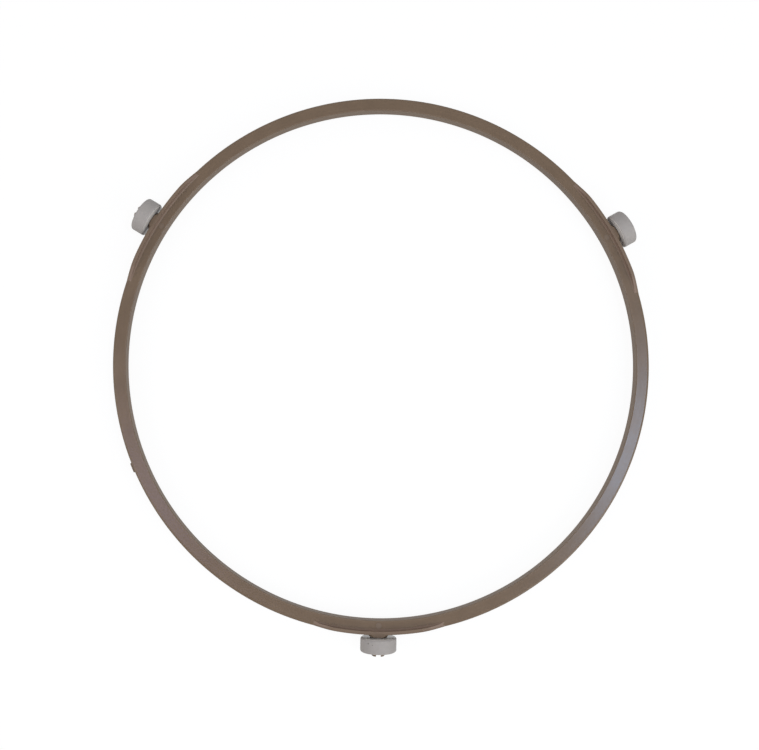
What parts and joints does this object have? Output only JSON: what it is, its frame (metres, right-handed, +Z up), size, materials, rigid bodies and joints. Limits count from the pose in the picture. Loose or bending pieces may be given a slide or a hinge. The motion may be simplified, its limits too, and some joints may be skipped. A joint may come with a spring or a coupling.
{
  "type": "microwave roller ring",
  "caption": "Moulded plastic ring with raised ribs and split snap pins that carry free-turning rollers, so that a glass tray can roll round on the floor of a microwave oven.",
  "frame": {"origin": "on the ring's axis, in the plane of the three pin axes, inside the ring's bore", "axes": "+Z up along the ring's axis, away from the floor that the rollers stand on; -Y along the front roller's pin, away from the ring"},
  "size_m": [0.215, 0.2233, 0.0142],
  "materials": {
    "ring_plastic": "satin brown moulding",
    "roller_plastic": "dull warm grey moulding"
  },
  "bodies": {
    "ring": {"support_ring": "ring_plastic"},
    "right_roller": {"roller_right": "roller_plastic"},
    "left_roller": {"roller_left": "roller_plastic"},
    "front_roller": {"roller_front": "roller_plastic"}
  },
  "joints": [
    {"name": "right_roller_spin", "type": "hinge", "parent": "ring", "child": "right_roller", "pos_m": [0.09643, 0.05568, 0], "axis": [0.866, 0.5, 0], "continuous": true},
    {"name": "left_roller_spin", "type": "hinge", "parent": "ring", "child": "left_roller", "pos_m": [-0.09643, 0.05568, 0], "axis": [-0.866, 0.5, 0], "continuous": true},
    {"name": "front_roller_spin", "type": "hinge", "parent": "ring", "child": "front_roller", "pos_m": [0, -0.11135, 0], "axis": [0, -1, 0], "continuous": true}
  ]
}
